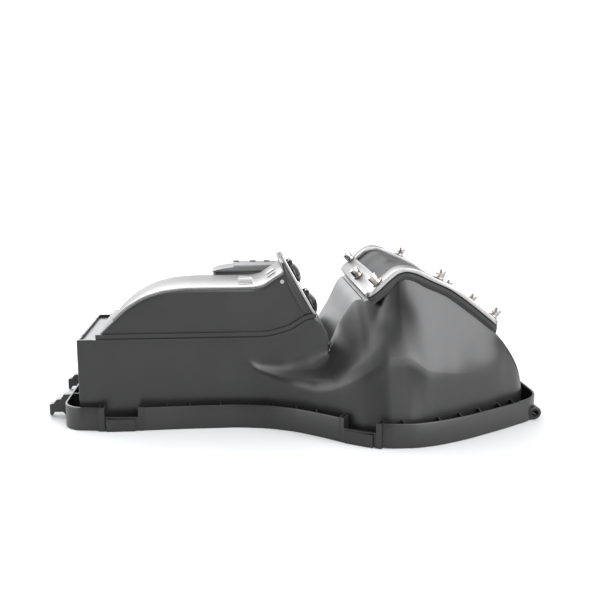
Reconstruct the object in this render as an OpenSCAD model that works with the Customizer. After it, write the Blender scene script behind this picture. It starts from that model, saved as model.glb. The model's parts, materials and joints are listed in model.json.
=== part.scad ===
/* [Rim] */
// Height of the outer rim band
rim_h = 25; // [15:1:40]
// Thickness of the outer rim band
band_t = 2.6; // [1.5:0.1:5]
// Distance from the outside of the band to the outside of the wall
rim_out = 14; // [8:1:25]
// Thickness of the flange at the foot of the wall
flange_t = 3; // [2:0.5:6]
// Radius of the two corners at the box end
left_r = 25; // [10:1:40]
// Radius of the two corners at the hump end
right_r = 47; // [20:1:60]
// Outside of the rim at the box end
rim_left = -144; // [-160:1:-130]
// Outside of the rim at the hump end
rim_right = 372; // [350:1:400]
// Widest depth of the rim on the far side
rim_back = 232; // [200:1:260]
// Width of each seat for a spring clip
seat_w = 35; // [20:1:50]
// Height of the pad under a spring clip
pad_h = 13; // [8:1:18]
// How far the pad stands out of the band
pad_out = 1.6; // [0.5:0.1:4]

/* [Shell] */
// Thickness of the moulded walls
wall_t = 3; // [2:0.5:6]
// Outside of the box end wall
box_left = -127; // [-135:1:-110]
// Near side wall of the box
box_near = 13; // [5:1:30]
// Far side wall of the box
box_far = 152; // [120:1:180]
// Height of the rim around the top of the box
box_h = 95; // [60:1:120]
// Depth of the step inside that rim
step_h = 3; // [1:0.5:6]
// Near edge of the hump's top
hump_near = -9.5; // [-20:0.5:10]
// Far edge of the hump's top
hump_far = 199.5; // [150:0.5:220]

/* [Duct] */
// Near side of the duct shell
duct_near = 14.6; // [10:0.1:30]
// Far side of the duct shell
duct_far = 111; // [80:1:130]
// Foot of the arch along X
arch_left = -107; // [-120:1:-80]
// Rounding of the long top edges
duct_round = 4; // [1:0.5:8]
// Thickness of the duct walls
duct_t = 2.8; // [2:0.1:5]
// Thickness of the duct's foot flange
foot_t = 4; // [2:0.5:8]
// Thickness of the seal under the foot flange
duct_seal_t = 1.5; // [1:0.1:3]
// Thickness of the moulded port flange
port_block_t = 8.5; // [5:0.5:14]

/* [Plates] */
// Thickness of the arched cover plate
cover_t = 1.5; // [1:0.1:3]
// Where the cover starts at the low end of the duct
cover_left = -89.3; // [-104:0.1:-60]
// Near edge of the cover plate
cover_near = 18.6; // [15:0.1:30]
// Far edge of the cover plate
cover_far = 107; // [80:1:120]
// Length of the two slots in the cover plate
slot_len = 11.3; // [8:0.1:20]
// Width of those slots
slot_w = 6.5; // [1:0.1:8]
// Thickness of the port plate
port_plate_t = 2.5; // [1.5:0.1:5]
// Length of the port plate down the slope
port_plate_len = 67.6; // [55:0.1:85]
// Slope of the port plate from level
port_slope = 61; // [40:1:80]
// Thickness of the paper gasket behind the port plate
port_gasket_t = 0.8; // [0.5:0.1:2]

/* [Flaps] */
// Depth position of both relief ports
port_y = 30; // [28:1:60]
// Radius of each relief port
port_r = 6.5; // [4:0.5:7]
// Centre of the upper flap down the slope
flap_s1 = 15.6; // [15:0.1:20]
// Centre of the lower flap down the slope
flap_s2 = 52.8; // [48:0.1:53]
// Radius of each flap
flap_r = 13; // [10:0.5:14]
// Height of a flap's dome above the plate
flap_h = 7.6; // [4:0.1:10]
// Thickness of the rubber pad under each flap
pad_t = 1; // [0.6:0.1:2]
// Radius of the hinge pins
pin_r = 1.2; // [0.8:0.1:2]
// Height of the hinge pins above the plate
pin_v = 3.2; // [2.8:0.1:4]

/* [Window] */
// Thickness of the clamp frame
frame_t = 4; // [2:0.5:5]
// Near edge of the clamp frame
frame_near = -12; // [-20:1:5]
// Far edge of the clamp frame
frame_far = 202; // [160:1:220]
// Width of the frame strips seen from above
strip_w = 22; // [15:1:30]
// Left edge of the frame
frame_left = 176.5; // [170:0.5:185]
// Right edge of the frame
frame_right = 317; // [300:0.5:330]
// Left edge of the window opening
window_left = 191.5; // [185:0.5:200]
// Right edge of the window opening
window_right = 302; // [290:0.5:306]
// Thickness of the rubber membrane
membrane_t = 1.6; // [1:0.1:3]
// Thickness of the rubber gasket
gasket_t = 4; // [2:0.5:6]
// Thickness of the moulded lip under the gasket
lip_t = 3.5; // [2:0.5:6]

/* [Fasteners] */
// Shank radius of the frame screws
bolt_r = 3; // [2:0.5:4]
// Head radius of the frame screws
head_r = 5; // [4:0.5:8]
// Head height of the frame screws
head_h = 6.4; // [4:0.1:10]
// Thickness of the plain washers
washer_t = 1.4; // [0.8:0.1:3]
// Thickness of the spring washers
spring_t = 2.2; // [1:0.1:3]
// Outer radius of the threaded inserts
insert_r = 4.2; // [3.5:0.1:6]
// Length of the threaded inserts
insert_len = 9; // [6:0.5:14]

/* [Rear unit] */
// Left side of the actuator housing
unit_left = 14; // [0:1:40]
// Right side of the actuator housing
unit_right = 91; // [70:1:100]
// Near side of the actuator housing
unit_near = 113; // [112:0.5:120]
// Far side of the actuator housing
unit_far = 150; // [140:1:160]
// Top of the actuator lid
unit_top = 158.5; // [150:0.5:170]

/* [Knuckle] */
// Radius of the hole through the end knuckle
knuckle_hole_r = 3.3; // [2:0.1:5]
// Length of the knuckle along its hole
knuckle_len = 14; // [8:1:20]

/* [Hidden] */

mid_x = 102.5;
mid_y = 78.15;
eps = 0.01;
far_below = -5;
fine = 48;
hex = 6;

// smooth curve through stations: value at x of the curve through xs, ys
function slope(xs, ys, i) = i == 0 ? (ys[1] - ys[0]) / (xs[1] - xs[0])
    : i == len(xs) - 1 ? (ys[i] - ys[i - 1]) / (xs[i] - xs[i - 1])
    : let(a = (ys[i] - ys[i - 1]) / (xs[i] - xs[i - 1]), b = (ys[i + 1] - ys[i]) / (xs[i + 1] - xs[i]))
      a * b <= 0 ? 0 : 2 * a * b / (a + b);
function seg(xs, x, i = 0) = i >= len(xs) - 2 || x <= xs[i + 1] ? i : seg(xs, x, i + 1);
function curve(xs, ys, x) =
    let(i = seg(xs, x), h = xs[i + 1] - xs[i], t = min(max((x - xs[i]) / h, 0), 1),
        m = slope(xs, ys, i) * h, n = slope(xs, ys, i + 1) * h)
    (2 * t * t * t - 3 * t * t + 1) * ys[i] + (t * t * t - 2 * t * t + t) * m
    + (3 * t * t - 2 * t * t * t) * ys[i + 1] + (t * t * t - t * t) * n;

// rim outline, near and far side
near_x = [-119, -73, 0, 32, 63, 95, 124, 147, 171, 194, 212, 230, 264, 304, 329, 349.2];
near_y = [2, -3, -1, -1, -5, -17, -37, -56, -70, -76.5, -77, -74, -61, -39, -24, -10.7];
far_x = [-119, 60, 100, 140, 175, 210, 325];
far_y = [166, 166, 173, 198, 222, rim_back, rim_back];
function rim_near(x) = curve(near_x, near_y, x);
function rim_far(x) = curve(far_x, far_y, x);
function tilt(x) = (rim_near(x + 1) - rim_near(x - 1)) / 2;
function tilt_far(x) = (rim_far(x + 1) - rim_far(x - 1)) / 2;
arc_x = rim_right - right_r;
arc_y = 29.6;
arc_y2 = rim_back - right_r;
arc_a = -59;

// rim outline moved in by d
function rim_loop(d) = concat(
    [for (a = [0:7]) let(w = 180 + 90 * a / 8)
        [rim_left + left_r + (left_r - d) * cos(w), 27 + (left_r - d) * sin(w)]],
    [for (i = [0:38]) let(x = -119 + (349.2 + 119) * i / 38, k = tilt(x), s = sqrt(1 + k * k))
        [x - d * k / s, rim_near(x) + d / s]],
    [for (a = [1:8]) let(w = arc_a * (1 - a / 8)) [arc_x + (right_r - d) * cos(w), arc_y + (right_r - d) * sin(w)]],
    [for (a = [0:7]) let(w = 90 * a / 8) [arc_x + (right_r - d) * cos(w), arc_y2 + (right_r - d) * sin(w)]],
    [for (i = [0:24]) let(x = 325 - (325 + 119) * i / 24, k = tilt_far(x), s = sqrt(1 + k * k))
        [x + d * k / s, rim_far(x) - d / s]],
    [for (a = [1:8]) let(w = 90 + 90 * a / 8)
        [rim_left + left_r + (left_r - d) * cos(w), 141 + (left_r - d) * sin(w)]]);

// foot of the moulded wall, near and far side
wall_right = 357;
function foot_near(x) = let(r = right_r - rim_out, q = x - arc_x)
    x > 342 ? arc_y - sqrt(max(r * r - q * q, 0))
    : x < 40 ? box_near : min(box_near, rim_near(x) + rim_out * sqrt(1 + tilt(x) * tilt(x)));
function foot_far(x) = let(r = right_r - rim_out, q = x - arc_x)
    x > arc_x ? arc_y2 + sqrt(max(r * r - q * q, 0))
    : max(box_far, rim_far(x) - rim_out * sqrt(1 + tilt_far(x) * tilt_far(x)));

// underside of the clamp frame along X, and points stepped off it along its normal
frame_x = [176.5, 188, 199, 208, 216, 224, 243, 262, 272, 290, 317];
frame_z = [139, 148, 158.4, 165, 167, 165.6, 157, 148.3, 142, 128.6, 106.7];
function top_z(x) = x <= frame_left ? 139 + 0.8 * (x - frame_left) : curve(frame_x, frame_z, x);
function top_k(x) = (top_z(x + 0.5) - top_z(x - 0.5));
function top_p(x, d) = let(k = top_k(x), s = sqrt(1 + k * k)) [x - d * k / s, top_z(x) + d / s];
function top_a(x) = atan(top_k(x));

// four guide points of the shell's section at each station
st = [box_left, 40, 66, 95, 121, 126, 137.5, 139, 147, 157, 170, 178, 194, 210, 234, 262, 290, 317, 330, 345, 352, 357];
knee_y = [13, 13, 8, -2, -17, -20, -28, -29, -35, -40, -42, -42, -41, -42, -50, -41, -27, -13, -3, 8, 15, 22];
knee_z = [66, 66, 57, 50, 49, 50, 54, 55, 60, 67, 76, 82, 92, 94, 80, 74, 70, 65, 60, 50, 40, 27];
waist_y = [13, 13, 13, 12, 12, 12, 12, 14, 6, 1, -4, -11, -18, -22, -29, -25, -18, -10, -2, 9, 16, 23];
waist_z = [82, 80, 66, 63, 66, 67, 72, 75, 80, 88, 100, 106, 116, 125, 119, 106, 93, 81, 74, 58, 44, 28];
crest_y = [13, 13, 13, 13, 13, 13, 13, 17, 36, 50, 44, 24, -7, hump_near, hump_near,
           hump_near, hump_near, hump_near, -3, 8, 16, 24];
crest_z = [95, 95, 95, 101, 113.5, 112.5, 96.5, 84, 93, 106, 127, 133];
back_y = [152, 152, 152, 152, 152, 152, 154, 157, 166, 176, 190, hump_far, hump_far, hump_far,
          hump_far, hump_far, hump_far, hump_far, 197, 192, 186, 180];
knee2_y = [152, 152, 152, 154, 160, 163, 172, 174, 182, 190, 200, 206, 211, 213, 214, 214, 213, 210, 206, 199, 192, 182];
knee2_z = [66, 66, 60, 58, 60, 60, 62, 63, 66, 70, 78, 84, 90, 92, 88, 78, 72, 66, 60, 50, 40, 27];
lip_in = membrane_t + gasket_t;
function crest(x) = x <= 178 ? curve([for (i = [0:11]) st[i]], crest_z, x)
    : x <= frame_right ? top_z(x) - (lip_in + 2) * sqrt(1 + top_k(x) * top_k(x))
    : curve([317, 326, 335, 343, 350, 355, 357], [96.5, 86.5, 75, 62.5, 49, 36, 28.5], x);

// one corner of the section, eased between a and c with b as its guide
function ease(a, b, c, n) = [for (i = [0:n]) let(t = i / n) (1 - t) * (1 - t) * a + 2 * t * (1 - t) * b + t * t * c];
// half section as [y, z] points from the foot up, moved in by d on the side given by way
function half(f, k, w, c, way, d) =
    let(f2 = [f + way * d, 0], k2 = k + [way * d, -d * 0.4], w2 = w + [way * d, -d * 0.8], c2 = c + [way * d, -d * 1.1],
        drop = min(k2[1] - 4, 9), a = [f2[0] + (k2[0] - f2[0]) * 0.7, k2[1] - drop])
    concat([[f2[0], d > 0 ? far_below : 0]], ease(a, k2, k2 + (w2 - k2) * 0.32, d > 0 ? 3 : 5),
        ease(w2 + (k2 - w2) * 0.34, w2, w2 + (c2 - w2) * 0.3, d > 0 ? 3 : 5), [c2]);
function ring(x, d) =
    let(near = half(foot_near(x), [curve(st, knee_y, x), curve(st, knee_z, x)],
            [curve(st, waist_y, x), curve(st, waist_z, x)], [curve(st, crest_y, x), crest(x)], 1, d),
        far = half(foot_far(x), [curve(st, knee2_y, x), curve(st, knee2_z, x)],
            [curve(st, back_y, x), (curve(st, knee2_z, x) + crest(x)) / 2], [curve(st, back_y, x), crest(x)], -1, d))
    concat(near, [for (i = [len(far) - 1:-1:0]) far[i]]);

module loft(xs, d) {
    rings = [for (x = xs) [for (p = ring(x, d)) [x, p[0], p[1]]]];
    n = len(rings[0]);
    m = len(rings);
    pts = [for (r = rings) each r];
    sides = [for (i = [0:m - 2], j = [0:n - 1]) let(q = (j + 1) % n)
        each [[i * n + j, i * n + q, (i + 1) * n + q], [i * n + j, (i + 1) * n + q, (i + 1) * n + j]]];
    ends = [[for (j = [n - 1:-1:0]) j], [for (j = [0:n - 1]) (m - 1) * n + j]];
    polyhedron(pts, concat(sides, ends), convexity = 8);
}

shell_xs = concat([for (i = [0:5]) box_left + (60 - box_left) * i / 6], [for (i = [0:8]) 60 + i * 7.2],
    [122, 126, 130, 134, 137.5, 139], [for (i = [1:8]) 139 + i * 4.7], [for (i = [0:16]) 183 + i * 8.3], [319],
    [for (i = [1:7]) 320 + i * 4.6], [355, wall_right]);
hollow_xs = concat([for (i = [0:3]) box_left + wall_t + (60 - box_left - wall_t) * i / 4], [for (i = [0:6]) 60 + i * 10],
    [131, 135], [for (i = [0:7]) 139 + i * 5.6], [for (i = [0:12]) 184 + i * 10.3], [for (i = [0:5]) 318 + i * 5.4], [350, 353]);

// band that follows a profile in XZ, drawn across Y
module across(y0, y1, pts) {
    translate([0, y1, 0])
        rotate([90, 0, 0])
            linear_extrude(height = y1 - y0)
                polygon(pts);
}
top_xs = concat([frame_left], [for (i = [0:28]) 180 + i * 4.7], [frame_right]);
module top_band(y0, y1, d0, d1, x0 = frame_left, x1 = frame_right) {
    xs = [for (x = top_xs) if (x > x0 + 1 && x < x1 - 1) x];
    all = concat([x0], xs, [x1]);
    across(y0, y1, concat([for (x = all) top_p(x, d0)], [for (i = [len(all) - 1:-1:0]) top_p(all[i], d1)]));
}
// places for the frame screws: along X, then Y
bolt_spots = [[191, 0], [251, 0], [309.5, 0], [191, 192], [248, 192], [309.5, 192], [184, 86], [309.5, 86]];
module at_bolts(d) {
    for (b = bolt_spots)
        translate([top_p(b[0], d)[0], b[1], top_p(b[0], d)[1]])
            rotate([0, -top_a(b[0]), 0])
                children();
}
module place() {
    translate([-mid_x, -mid_y, 0])
        children();
}

rib_near = [-35, -10.6, 22, 52.4, 78, 102, 122, 205, 243, 268, 292, 318, 336];
rib_far = [-100, -55, -10, 35, 80, 120, 165, 255, 300];
rib_end = [60, 95, 130, 165];
seats = [-81.5, 161];
seat_y = [-2.8, -64.5];
seats_far = [-60, 230];
seat_turn = [0, -33];

module clip_gap(x, y, turn, way) {
    translate([x, y, 0])
        rotate([0, 0, turn])
            translate([-seat_w / 2, way > 0 ? -8 : -5, pad_h + 2])
                cube([seat_w, 13, rim_h]);
}
module clip_pad(x, y, turn, way) {
    side = seat_w / 2;
    translate([x, y, 0])
        rotate([0, 0, turn])
            scale([1, way, 1]) {
                translate([-seat_w / 2 + 2, -pad_out, 0])
                    cube([seat_w - 5, band_t + pad_out, pad_h]);
                for (s = [-1, 1])
                    translate([s * (side + 3) - 3, 0, 0])
                        difference() {
                            cube([6, 11, rim_h + 0.6]);
                            translate([1.6, 1.6, 8])
                                cube([2.8, 7.8, rim_h]);
                        }
            }
}
// gusset between the wall and the band, drafted so that it leaves its mould
module rib(len) {
    hull() {
        translate([-1.3, 0, 0])
            cube([2.6, len, 1]);
        translate([-0.8, 0, rim_h - 2])
            cube([1.6, len, 1]);
    }
}
module hook(y, root) {
    translate([0, y + 4, 0])
        rotate([90, 0, 0])
            linear_extrude(height = 8)
                polygon([[root, 25], [-146, 25], [-152, 24.4], [-155, 19.6], [-160, 18.8], [-163, 14.6],
                         [-167, 14], [-167, 3], [-165, 0.4], [-163, 3], [-162.2, 5], [-153, 5], [-149, 0],
                         [root, 0]]);
}
knuckle_x = 364.5;
knuckle_y = -3;
knuckle_z = 7.6;

module lower_shell() color([0.07, 0.07, 0.075]) place() {
    difference() {
        union() {
            loft(shell_xs, 0);
            linear_extrude(height = flange_t)
                polygon(rim_loop(0));
            difference() {
                linear_extrude(height = rim_h)
                    polygon(rim_loop(0));
                translate([0, 0, flange_t])
                    linear_extrude(height = rim_h)
                        polygon(rim_loop(band_t));
                clip_gap(seats[0], seat_y[0], -1, 1);
                clip_gap(seats[1], seat_y[1], seat_turn[1], 1);
                clip_gap(seats_far[0], 166, 0, -1);
                clip_gap(seats_far[1], rim_back, 0, -1);
            }
            intersection() {
                linear_extrude(height = rim_h - 0.6)
                    polygon(rim_loop(0.4));
                union() {
                    for (x = rib_near)
                        translate([x, rim_near(x), 0])
                            rib(rim_out + 14);
                    for (x = rib_far)
                        translate([x, rim_far(x) - rim_out - 10, 0])
                            rib(rim_out + 10);
                    for (y = rib_end) {
                        translate([rim_left, y, 0])
                            rotate([0, 0, -90])
                                rib(18);
                        translate([rim_right, y, 0])
                            rotate([0, 0, 90])
                                rib(16);
                    }
                }
            }
            clip_pad(seats[0], seat_y[0], -1, 1);
            clip_pad(seats[1], seat_y[1], seat_turn[1], 1);
            clip_pad(seats_far[0], 166, 0, -1);
            clip_pad(seats_far[1], rim_back, 0, -1);
            hook(56, rim_left + band_t - 0.5);
            hook(158, -130);
            translate([knuckle_x, knuckle_y, knuckle_z])
                rotate([-90, 0, 0])
                    cylinder(r = 7, h = knuckle_len, $fn = fine);
            translate([353, knuckle_y, 0.6])
                cube([knuckle_x - 353, knuckle_len, 14]);
            foot_band(box_near - 1.2, box_near + 2, -3.5, -0.02, arch_left - 3, 125);
            top_band(frame_near + 2.5, frame_far - 2.5, -lip_in, -lip_in - lip_t, frame_left, frame_right);
            at_bolts(-lip_in - 12)
                cylinder(r = 7.5, h = 11, $fn = 24);
        }
        loft(hollow_xs, wall_t);
        translate([box_left + wall_t, box_near + wall_t, box_h - step_h])
            cube([arch_left + 1 - box_left - wall_t, box_far - box_near - 2 * wall_t, 10]);
        for (y = [36, 127])
            translate([box_left - 1, y, box_h - 1.6])
                cube([wall_t + 2, 3, 4]);
        translate([-92, 30, 80])
            cube([200, 66, 60]);
        translate([window_left, frame_near + strip_w + 2, 60])
            cube([window_right - window_left, frame_far - frame_near - 2 * strip_w - 2, 120]);
        at_bolts(-lip_in - insert_len - 0.5)
            cylinder(r = insert_r, h = 30, $fn = 24);
        translate([knuckle_x, knuckle_y - 1, knuckle_z])
            rotate([-90, 0, 0])
                cylinder(r = knuckle_hole_r + 1.2, h = knuckle_len + 2, $fn = fine);
        translate([0, 0, -eps])
            linear_extrude(height = 1.2)
                difference() {
                    polygon(rim_loop(4.6));
                    polygon(rim_loop(9.4));
                }
    }
}
module base_seal() color([0.03, 0.03, 0.03]) place() {
    translate([0, 0, 0])
        linear_extrude(height = 1.19 - eps)
            difference() {
                polygon(rim_loop(5));
                polygon(rim_loop(9));
            }
}

// top of the box under the duct, and the bands that follow it
foot_xs = concat([arch_left], [-60, -20, 20, 45], [for (i = [0:8]) 60 + i * 7.2]);
foot_end = 122;
function foot_p(x, d) = let(k = crest(x + 0.5) - crest(x - 0.5), s = sqrt(1 + k * k)) [x - d * k / s, crest(x) + d / s];
module foot_band(y0, y1, d0, d1, x0, x1) {
    xs = [for (x = foot_xs) if (x > x0 + 1 && x < x1 - 1) x];
    all = concat([x0], xs, [x1]);
    across(y0, y1, concat([for (x = all) foot_p(x, d0)], [for (i = [len(all) - 1:-1:0]) foot_p(all[i], d1)]));
}
module duct_seal() color([0.03, 0.03, 0.03]) place() {
    difference() {
        foot_band(box_near + 0.5, box_far - 0.5, 0, duct_seal_t, arch_left, foot_end);
        translate([-92, 30, 80])
            cube([200, 66, 60]);
    }
}

// frame of the sloping ports: u runs down the slope, v out of the plate
slope_top = [93.5, 175];
down = [cos(port_slope), -sin(port_slope)];
out = [sin(port_slope), cos(port_slope)];
function on_port(s, v) = slope_top + s * down + v * out;
module at_port(s, y, v) {
    translate([on_port(s, v)[0], y, on_port(s, v)[1]])
        rotate([0, port_slope, 0])
            children();
}

// arch of the duct shell along X, outside face
arch_xs = [-107, -102, -97, -90, -80, -70, -60, -49, -38, -28, -17, -8, 10, 40, 56, 62, 68, 74, 80, 86, 92, 100, 108, 116, 124];
arch_x = [-107, -90, -72, -50.5, -29, -8, 24, 55, 67.6, 81.3, 92];
arch_z = [97, 113.5, 128.8, 140, 145.2, 146.8, 146.9, 146.9, 149, 157.2, 163.8];
function arch(x) = curve(arch_x, arch_z, x);
function arch_sec(x, d) = let(z0 = crest(min(x, 118)) + duct_seal_t + (d > 0 ? -1 : 1), z1 = max(arch(x) - d, z0 + 0.4),
    r = max(min(duct_round - d * 0.8, (z1 - z0) * 0.9), 0.2), a = duct_near + d, b = duct_far - d)
    concat([[x, a, z0]], [for (i = [0:4]) let(w = 90 * i / 4) [x, a + r - r * cos(w), z1 - r + r * sin(w)]],
        [for (i = [4:-1:0]) let(w = 90 * i / 4) [x, b - r + r * cos(w), z1 - r + r * sin(w)]], [[x, b, z0]]);
module arch_loft(xs, d) {
    rings = [for (x = xs) arch_sec(x, d)];
    n = len(rings[0]);
    m = len(rings);
    sides = [for (i = [0:m - 2], j = [0:n - 1]) let(q = (j + 1) % n)
        each [[i * n + j, i * n + q, (i + 1) * n + q], [i * n + j, (i + 1) * n + q, (i + 1) * n + j]]];
    ends = [[for (j = [n - 1:-1:0]) j], [for (j = [0:n - 1]) (m - 1) * n + j]];
    polyhedron([for (r = rings) each r], concat(sides, ends), convexity = 6);
}
block_out = -port_plate_t - port_gasket_t;
block_in = block_out - port_block_t;
// where the arch's roof ends against the moulded port block
roof_end = 91.65;
roof_s = (roof_end - slope_top[0] - block_in * out[0]) / down[0];
module at_flap_pin(c) {
    at_port(c - flap_r + 0.8, port_y, pin_v)
        rotate([90, 0, 0])
            children();
}
module ports(v0, v1) {
    for (c = [flap_s1, flap_s2])
        at_port(c + 3, port_y, v0)
            cylinder(r = port_r, h = v1 - v0, $fn = fine);
}
flap_mid = (flap_s1 + flap_s2) / 2;
port_spots = [[flap_mid, 18.8], [flap_mid, 42], [22, 62], [60.6, 62], [22, 103], [60.6, 103]];
module port_bolts() {
    for (p = port_spots)
        at_port(p[0], p[1], 0)
            children();
}
module duct_shell() color([0.07, 0.07, 0.075]) place() {
    difference() {
        union() {
            arch_loft(arch_xs, 0);
            foot_band(box_near - 1.2, box_far - 0.5, duct_seal_t, duct_seal_t + foot_t, arch_left, foot_end);
            for (x = [30, 76])
                translate([x - 6, 112.5, 100])
                    cube([12, 34, 5]);
        }
        arch_loft([for (x = arch_xs) if (x > -100) x], duct_t);
        across(0, 160, [[roof_end, 200], on_port(roof_s, block_in), on_port(90, block_in), [200, 100], [200, 200]]);
        for (p = unit_spots)
            translate([p[0], p[1], 101])
                cylinder(r = 1.6, h = 10, $fn = fine);
    }
}
module port_block() color([0.07, 0.07, 0.075]) place() {
    difference() {
        union() {
            across(duct_near, duct_far, [on_port(-1, block_out), on_port(port_plate_len, block_out),
                on_port(port_plate_len, block_in - eps), on_port(roof_s, block_in + eps), [roof_end + eps, 162.8], [89.1, 173.6]]);
            across(duct_near - 1.2, duct_near + 1, [on_port(roof_s + 1, block_in + 2.8), on_port(56, block_in + 2.8),
                on_port(56, block_in + 0.3), on_port(roof_s + 2, block_in + 0.3)]);
        }
        foot_band(0, 160, -20, duct_seal_t + foot_t + eps, 84, 126);
        ports(block_in - 4, 2);
        port_bolts()
            translate([0, 0, -11])
                cylinder(r = 1.7, h = 12, $fn = fine);
    }
}
cover_end = 91.4;
module cover_plate() color([0.85, 0.85, 0.84]) place() {
    bend_xs = concat([cover_left], [for (x = arch_xs) if (x > cover_left + 1.5 && x < cover_end - 2) x]);
    difference() {
        union() {
            across(cover_near, cover_far, concat([for (x = bend_xs) [x, arch(x)]], [[cover_end, arch(cover_end)], [88.3, 174.4],
                [87, 174], [cover_end - 1.7, arch(cover_end) + cover_t]],
                [for (i = [len(bend_xs) - 1:-1:0]) let(x = bend_xs[i], k = arch(x + 0.5) - arch(x - 0.5), s = sqrt(1 + k * k))
                    [x - cover_t * k / s, arch(x) + cover_t / s]]));
            for (y = [35, 88])
                translate([43, y - 4.5, arch(50) + cover_t - 0.2])
                    cube([15, 9, 0.7]);
        }
        for (y = [44, 65])
            translate([79.4, y, arch(79.4)])
                rotate([0, -31, 0])
                    translate([-slot_len / 2, -slot_w / 2, -5])
                        cube([slot_len, slot_w, 12]);
    }
}
module cover_rivets() color([0.8, 0.8, 0.8]) place() {
    for (w = [[duct_near, 90], [duct_far, -90]])
        translate([88.9, w[0], 154])
            rotate([w[1], 0, 0])
                cylinder(r = 2.1, h = 0.8, $fn = fine);
}
// sheet on the slope; the plate's near top corner ends in a pointed ear
module port_sheet(v0, v1, ear) {
    y0 = duct_near - 0.6;
    difference() {
        at_port(0, 0, v0)
            linear_extrude(height = v1 - v0)
                polygon(concat([[port_plate_len, y0], [port_plate_len, duct_far], [0, duct_far], [0, 27]],
                    ear ? [[-5, 22], [-8.6, 17.6], [-9.2, 15.4], [-7, y0]] : [[0, y0]]));
        ports(v0 - 1, v1 + 1);
        port_bolts()
            translate([0, 0, -6])
                cylinder(r = 1.7, h = 8, $fn = fine);
    }
}
module port_gasket() color([0.25, 0.22, 0.18]) place()
    port_sheet(block_out + 0.02, -port_plate_t - 0.02, false);
module port_plate() color([0.85, 0.85, 0.84]) place() {
    difference() {
        port_sheet(-port_plate_t, 0, true);
        port_bolts()
            translate([0, 0, -1.7])
                cylinder(r1 = 1.7, r2 = 3.5, h = 1.8, $fn = fine);
    }
}
module port_screws() color([0.6, 0.6, 0.62]) place() {
    port_bolts()
        difference() {
            union() {
                translate([0, 0, -10.5])
                    cylinder(r = 1.6, h = 9.5, $fn = fine);
                translate([0, 0, -1.6])
                    cylinder(r1 = 1.6, r2 = 3.2, h = 1.5, $fn = fine);
            }
            translate([0, 0, -1.1])
                cylinder(r = 1.2, h = 2, $fn = hex);
        }
}
// hinge of each flap: two lugs on the plate, a pin through them, the flap's barrel between
lug_in = 6;
lug_t = 2.6;
module hinge_lugs() color([0.5, 0.5, 0.52]) place() {
    for (c = [flap_s1, flap_s2], w = [-1, 1])
        difference() {
            at_flap_pin(c)
                translate([0, 0, w * (lug_in + lug_t / 2) - lug_t / 2]) {
                    cylinder(r = 2.4, h = lug_t, $fn = fine);
                    translate([-2.4, -pin_v + eps, 0])
                        cube([4.8, pin_v, lug_t]);
                }
            at_flap_pin(c)
                cylinder(r = pin_r + 0.02, h = 40, center = true, $fn = fine);
        }
}
module hinge_pins() color([0.75, 0.75, 0.77]) place() {
    for (c = [flap_s1, flap_s2])
        at_flap_pin(c)
            cylinder(r = pin_r, h = 2 * (lug_in + lug_t) + 1.2, center = true, $fn = fine);
}
module flap(c) {
    base = pad_t + 0.1;
    rim = 0.9;
    rise = flap_h - base - rim;
    ball_r = (flap_r * flap_r + rise * rise) / (2 * rise);
    difference() {
        union() {
            difference() {
                at_port(c, port_y, base)
                    intersection() {
                        cylinder(r = flap_r, h = flap_h, $fn = 96);
                        translate([0, 0, rim + rise - ball_r])
                            sphere(r = ball_r, $fn = 96);
                    }
                for (w = [-1, 1])
                    at_flap_pin(c)
                        translate([-6, -6, w * (lug_in + lug_t / 2) - lug_t / 2 - 0.35])
                            cube([9, 14, lug_t + 0.7]);
                at_flap_pin(c)
                    translate([-12, -8, -20])
                        cube([10.2, 16, 40]);
            }
            at_flap_pin(c)
                cylinder(r = 2.3, h = 2 * lug_in - 0.7, center = true, $fn = fine);
        }
        at_flap_pin(c)
            cylinder(r = pin_r + 0.06, h = 40, center = true, $fn = fine);
    }
}
module pad(c) {
    at_port(c + 1.2, port_y, 0.1)
        cylinder(r = flap_r - 3, h = pad_t, $fn = 96);
}
module upper_flap() color([0.03, 0.03, 0.03]) place()
    flap(flap_s1);
module lower_flap() color([0.03, 0.03, 0.03]) place()
    flap(flap_s2);
module upper_pad() color([0.1, 0.1, 0.1]) place()
    pad(flap_s1);
module lower_pad() color([0.1, 0.1, 0.1]) place()
    pad(flap_s2);

// rear unit on the box, behind the duct
unit_lid_t = 8;
unit_wall = 2.4;
unit_mid = (unit_near + unit_far) / 2;
function unit_plan(x0, x1, y0, y1, r, d) = concat(
    [for (i = [0:6]) let(w = 180 + 15 * i) [x0 + r + (r - d) * cos(w), y0 + r + (r - d) * sin(w)]],
    [for (i = [0:6]) let(w = 270 + 15 * i) [x1 - r + (r - d) * cos(w), y0 + r + (r - d) * sin(w)]],
    [for (i = [0:6]) let(w = 15 * i) [x1 - r + (r - d) * cos(w), y1 - r + (r - d) * sin(w)]],
    [for (i = [0:6]) let(w = 90 + 15 * i) [x0 + r + (r - d) * cos(w), y1 - r + (r - d) * sin(w)]]);
unit_spots = [[30, 118.6], [76, 118.6], [30, 144.4], [76, 144.4]];
module actuator_housing() color([0.06, 0.06, 0.065]) place() {
    difference() {
        union() {
            translate([0, 0, 107])
                linear_extrude(height = unit_top - unit_lid_t - 107)
                    polygon(unit_plan(unit_left, unit_right - 8, unit_near, unit_far, 5, 0));
            for (p = unit_spots)
                translate([p[0], p[1], 105.02])
                    cylinder(r = 4.4, h = 6, $fn = fine);
            translate([unit_right - 10, unit_mid, 128])
                rotate([0, 90, 0])
                    cylinder(r = 9, h = 16, $fn = fine);
        }
        translate([0, 0, 107 + unit_wall])
            linear_extrude(height = 60)
                polygon(unit_plan(unit_left, unit_right - 8, unit_near, unit_far, 5, unit_wall));
        translate([unit_right - 6, unit_mid, 128])
            rotate([0, 90, 0])
                cylinder(r = 6.8, h = 20, $fn = fine);
        for (p = unit_spots)
            translate([p[0], p[1], 100])
                cylinder(r = 1.75, h = 14, $fn = fine);
    }
}
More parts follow.
